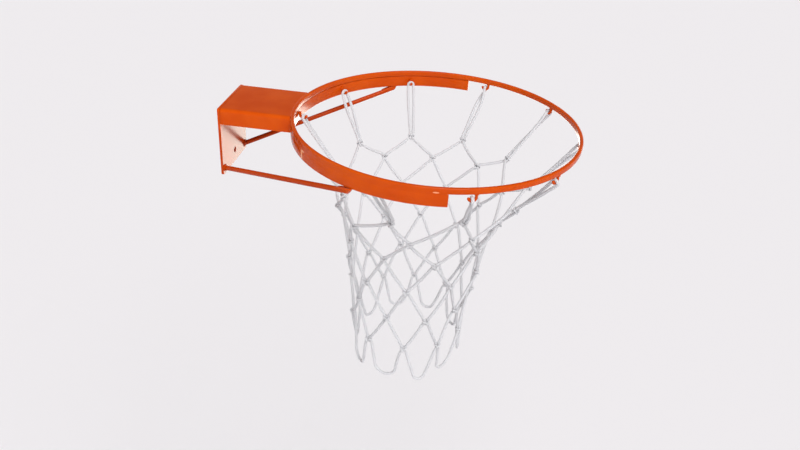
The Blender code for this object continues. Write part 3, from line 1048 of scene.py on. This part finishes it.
def rowDrop(row):
    shortfall = 1 - net["firstCellShare"]
    cells = [1 - shortfall * net["cellEase"] ** k for k in range(net["rows"])]
    hanging = net["length"] - net["firstDrop"]
    return net["firstDrop"] + hanging * sum(cells[:row - 1]) / sum(cells)


def netPoint(row, angle):
    topRadius = ringRadius - ringBar["width"] - net["firstInset"]
    waist = net["waistRadius"]
    radius = waist + (topRadius - waist) * net["taper"] ** (row - 1)
    share = 1 - net["driftEase"] ** (row - 1)
    lift = net["driftLift"] * (1 + math.sin(angle)) / 2
    drift = Vector((net["driftSide"], net["driftBack"], lift)) * share
    return ringPoint(angle + net["twist"], radius, ringTop - rowDrop(row)) + drift


def knotAngle(row, column):
    return 2 * halfStep * column + halfStep * ((row - 1) % 2)


knotPlaces = {}
for row in range(1, net["rows"] + 2):
    for column in range(hook["count"]):
        spread = net["firstUnevenness" if row == 1 else "unevenness"]
        shift = Vector([chance.uniform(-spread, spread) for _ in range(3)])
        knotPlaces[row, column] = netPoint(row, knotAngle(row, column)) + shift
for row, column, back, rise in pulledKnots:
    knotPlaces[row, column] += Vector((0, back, rise))


def knotPlace(row, column):
    return knotPlaces[row, column % hook["count"]]


def neighbours(row, column, below):
    # The two knots of the next row below or above, on the left and on the right.
    shift = 0 if row % 2 else 1
    other = row + 1 if below else row - 1
    return knotPlace(other, column + shift - 1), knotPlace(other, column + shift)


def hookRod(column):
    return crookMiddle(knotAngle(1, column)) - up * hook["crookRadius"]


def knotFrame(row, column):
    # Directions across, up and out of the net at a knot, and the diameter it is tied in.
    here = knotPlace(row, column)
    above = hookRod(column) if row == 1 else sum(neighbours(row, column, False), Vector()) / 2
    below = sum(neighbours(row, column, True), Vector()) / 2
    rise = ((above - here).normalized() + (here - below).normalized()).normalized()
    out = outward(knotAngle(row, column) + net["twist"])
    out = squareTo(rise, out)
    return here, rise.cross(out), rise, out, 2 * cord["radius"] * net["squeeze"]


def tied(row, column, path):
    # A strand of a knot. Every second row is tied the other way round.
    here, across, rise, out, size = knotFrame(row, column)
    handed = 1 if row % 2 else -1
    points = [here + size * (handed * a * across + b * rise + c * out) for a, b, c in path]
    if handed < 0:
        points.reverse()
    squeeze = net["squeeze"]
    shares = [squeeze] * len(points)
    shares[0] = shares[-1] = (1 + squeeze) / 2
    return list(zip(points, shares))


def bar(start, end, sag):
    # The cord between two knots, with both of its ends left out.
    count = max(int((end - start).length / net["pointSpacing"]), 3)
    spread = net["bowSpread"]
    bow = Vector([chance.uniform(-spread, spread) * sag for _ in range(3)]) - up * sag
    points = []
    for k in range(1, count):
        share = k / count
        size = 1 if 2 <= k <= count - 2 else net["neckSize"]
        points.append((start.lerp(end, share) + bow * (4 * share * (1 - share)), size))
    return points


def hemBend(column):
    start = knotPlace(net["rows"], column)
    end = knotPlace(net["rows"], column + 1)
    lowest = knotPlace(net["rows"] + 1, column + 1)
    middle = (start + end) / 2
    across = (end - start).normalized()
    down = (lowest - middle).normalized()
    radius = net["hemRadii"][column]
    halfWidth = (end - start).length / 2
    depth = (lowest - middle).length - radius
    slope = math.atan2(depth, halfWidth) + math.asin(radius / math.hypot(depth, halfWidth))
    first, last, steps = math.pi / 2 + slope, math.pi / 2 - slope, net["hemSteps"]
    return arc(middle + down * depth, across * radius, down * radius, first, last, steps)


def makeCourse(row):
    # One closed cord: it ties the knots of its row and hangs as bights in the row below.
    points = []
    shift = 0 if row % 2 else 1
    for column in range(hook["count"]):
        knot = tied(row, column, tyingPath)
        following = tied(row, column + 1, tyingPath)
        points += knot
        if row == net["rows"]:
            bend = hemBend(column)
            points += bar(knot[-1][0], bend[0], net["sag"])
            points += [(p, 1) for p in bend]
            points += bar(bend[-1], following[0][0], net["sag"])
        else:
            bight = tied(row + 1, (column + shift) % hook["count"], bightPath)
            points += bar(knot[-1][0], bight[0][0], net["sag"]) + bight
            points += bar(bight[-1][0], following[0][0], net["sag"])
    return points, True


def bulged(points, direction, bulge):
    # The cord is stiff, so the legs of a loop stand apart, most of all near its first knot.
    last = len(points) + 1
    shares = [((k + 1) / last) ** netLoop["bulgeLean"] for k in range(len(points))]
    return [(p + direction * bulge * math.sin(math.pi * share), size)
            for (p, size), share in zip(points, shares)]


def makeLoop(column):
    # A ring of cord: down both legs from the hook, and through the first knot.
    rod = hookRod(column)
    bight = tied(1, column, bightPath)
    here, across, rise = knotFrame(1, column)[:3]
    radius = cord["radius"]
    reach = hook["rodRadius"] + radius * netLoop["archSize"]
    rodLine = crookDirection(knotAngle(1, column))
    along = (rod - here).normalized()
    square = squareTo(rodLine, along)
    arch = arc(rod, rodLine.cross(square) * reach, square * reach, 0, math.pi, netLoop["archSteps"])
    neck = [here + rise * netLoop["neckRise"] + across * side * radius * netLoop["neckSpread"]
            for side in (-1, 1)]
    bulge = netLoop["bulges"][column]
    upLeg = bulged(bar(neck[1], arch[0], netLoop["sag"]), across, bulge)
    downLeg = bulged(bar(neck[0], arch[-1], netLoop["sag"]), -across, bulge)
    thin = net["neckSize"]
    points = bight + [(bight[-1][0].lerp(neck[1], 0.5), thin), (neck[1], 1)] + upLeg
    points += [(p, netLoop["archSize"]) for p in arch] + downLeg[::-1]
    points += [(neck[0], 1), (neck[0].lerp(bight[0][0], 0.5), thin)]
    return points, True


def makeCordTree(inputs):
    graph, given = newTree("braidedCord", inputs)
    curve = graph.node("GeometryNodeMeshToCurve", None, {"Mesh": given["Geometry"]})
    splines = {"spline_type": "CATMULL_ROM"}
    smooth = graph.node("GeometryNodeCurveSplineType", splines, {"Curve": curve})
    fine = graph.node("GeometryNodeSetSplineResolution", None,
                      {"Geometry": smooth, "Resolution": cord["curveSteps"]})
    evenly = graph.node("GeometryNodeResampleCurve", {"mode": "LENGTH"},
                        {"Curve": fine, "Length": given["Ring spacing"]})
    length = graph.node("GeometryNodeSplineParameter", output="Length")
    path = graph.node("GeometryNodeCaptureAttribute", {"captures": [("FLOAT", "along")]},
                      {"Geometry": evenly, 1: length})
    circle = graph.node("GeometryNodeCurvePrimitiveCircle", None,
                        {"Resolution": given["Sides"], "Radius": 1.0})
    turn = graph.node("GeometryNodeSplineParameter", output="Factor")
    profile = graph.node("GeometryNodeCaptureAttribute", {"captures": [("FLOAT", "around")]},
                         {"Geometry": circle, 1: turn})
    along = graph.also(path, 1)
    around = graph.also(profile, 1)
    thickness = graph.named(cord["thicknessName"])
    radius = thickness * given["Cord radius"]
    tube = graph.node("GeometryNodeCurveToMesh", None,
                      {"Curve": path, "Profile Curve": profile, "Scale": radius})
    height = graph.braid(along / given["Strand width"], around * given["Strands around"])
    push = (height - cord["reliefMiddle"]) * given["Relief"] * thickness
    normal = graph.node("GeometryNodeInputNormal")
    offset = graph.node("ShaderNodeVectorMath", {"operation": "SCALE"}, {0: normal, "Scale": push})
    braided = graph.node("GeometryNodeSetPosition", None, {"Geometry": tube, "Offset": offset})
    angle = around * (2 * math.pi)
    place = graph.node("ShaderNodeCombineXYZ", None,
                       {0: along, 1: graph.math("COSINE", angle), 2: graph.math("SINE", angle)})
    marked = graph.node("GeometryNodeStoreNamedAttribute", {"data_type": "FLOAT_VECTOR"},
                        {"Geometry": braided, "Name": cord["placeName"], "Value": place})
    return endTree(graph, marked, given["Material"])


cordInputs = {"Cord radius": cord["radius"], "Ring spacing": cord["ringSpacing"],
              "Sides": cord["sides"], "Relief": cord["relief"], "Material": nylon,
              "Strand width": cord["strandWidth"], "Strands around": float(cord["strandsAround"])}
cordTree = makeCordTree(cordInputs)


def makeNetPiece(name, paths, nodes):
    piece = grow(pathObject(name, paths), cordTree, cordInputs)
    keep(piece, "net_cord", *nodes)


loopNodes = [f"net_loop_{k + 1:02d}" for k in range(hook["count"])]
makeNetPiece("netLoops", [makeLoop(column) for column in range(hook["count"])], loopNodes)
for name, row in (("netUpperCourses", 1), ("netMiddleCourses", 3), ("netLowerCourses", 5)):
    makeNetPiece(name, [makeCourse(row), makeCourse(row + 1)], ["net_mesh"])
print("net made")


# Studio: a pale floor far below, a pale sky and two soft lights

studio = {
    "floorDrop": 1.7,
    "floorSize": 60,
    "floorColour": (0.895, 0.87, 0.89),
    "floorRoughness": 0.9,
    "horizonColour": (0.92, 0.905, 0.90),
    "ceilingColour": (0.13, 0.13, 0.13),
    "horizonHeights": (0.2, 0.34),
    "sunStrength": 3.0,
    "sunSoftness": math.radians(45),
    "sunDirection": (0.52, 0.24, -0.79),
    "panelPlace": (1.26, -0.46, -0.62),
    "panelSize": 0.8,
    "panelPower": 10.6,
    "panelColour": (0.94, 0.98, 0.85),
}


def addLamp(light, direction):
    lamp = addObject(light.name, light)
    lamp.rotation_euler = Vector(direction).to_track_quat("-Z", "Y").to_euler()
    return lamp


def makeFloor():
    half, low = studio["floorSize"] / 2, -studio["floorDrop"]
    corners = [(-half, -half, low), (half, -half, low), (half, half, low), (-half, half, low)]
    mesh = bpy.data.meshes.new("studioFloor")
    mesh.from_pydata(corners, [], [range(4)])
    floor = addObject("studioFloor", mesh)
    material, graph, shader = newMaterial("paleFloor")
    graph.feed(shader, {"Base Color": (*studio["floorColour"], 1),
                        "Roughness": studio["floorRoughness"], "Specular IOR Level": 0.0})
    mesh.materials.append(material)


def makeSky():
    world = bpy.data.worlds.new("paleSky")
    bpy.context.scene.world = world
    world.use_nodes = True
    graph = Graph(world.node_tree)
    direction = graph.node("ShaderNodeTexCoord", output="Generated")
    height = graph.node("ShaderNodeSeparateXYZ", None, {0: direction}, 2)
    sky = graph.blend(graph.step(height, *studio["horizonHeights"]),
                      (*studio["horizonColour"], 1), (*studio["ceilingColour"], 1))
    graph.feed(world.node_tree.nodes["Background"], {"Color": sky})


def makeLights():
    sun = bpy.data.lights.new("softSun", "SUN")
    sun.energy = studio["sunStrength"]
    sun.angle = studio["sunSoftness"]
    addLamp(sun, studio["sunDirection"])
    # A soft panel, low on the far side, that only shows as a sheen on the back plate's face
    panel = bpy.data.lights.new("softPanel", "AREA")
    panel.size = studio["panelSize"]
    panel.energy = studio["panelPower"]
    panel.color = studio["panelColour"]
    place = Vector(studio["panelPlace"])
    lamp = addLamp(panel, -place)
    lamp.location = place
    lamp.visible_camera = False
    lamp.visible_diffuse = False
    bpy.context.scene.view_settings.view_transform = "Standard"


# Camera, at the photograph's angle: from the left of the hoop, above the ring

camera = {
    "place": (-1.0679, -0.4072, 0.5045),
    "looking": (0.8507, 0.0891, -0.5180),
    "roll": -0.073137,
    "lens": 32.352,
    "sensor": 36,
}


def makeCamera():
    data = bpy.data.cameras.new("camera")
    data.lens = camera["lens"]
    data.sensor_width = camera["sensor"]
    forward = Vector(camera["looking"]).normalized()
    flatRight = forward.cross(up).normalized()
    rise = flatRight.cross(forward)
    turn = camera["roll"]
    right = flatRight * math.cos(turn) - rise * math.sin(turn)
    above = flatRight * math.sin(turn) + rise * math.cos(turn)
    matrix = Matrix((right, above, -forward)).transposed().to_4x4()
    matrix.translation = Vector(camera["place"])
    obj = addObject("camera", data)
    obj.matrix_world = matrix
    bpy.context.scene.camera = obj


makeFloor()
makeSky()
makeLights()
makeCamera()
print("studio and camera made")
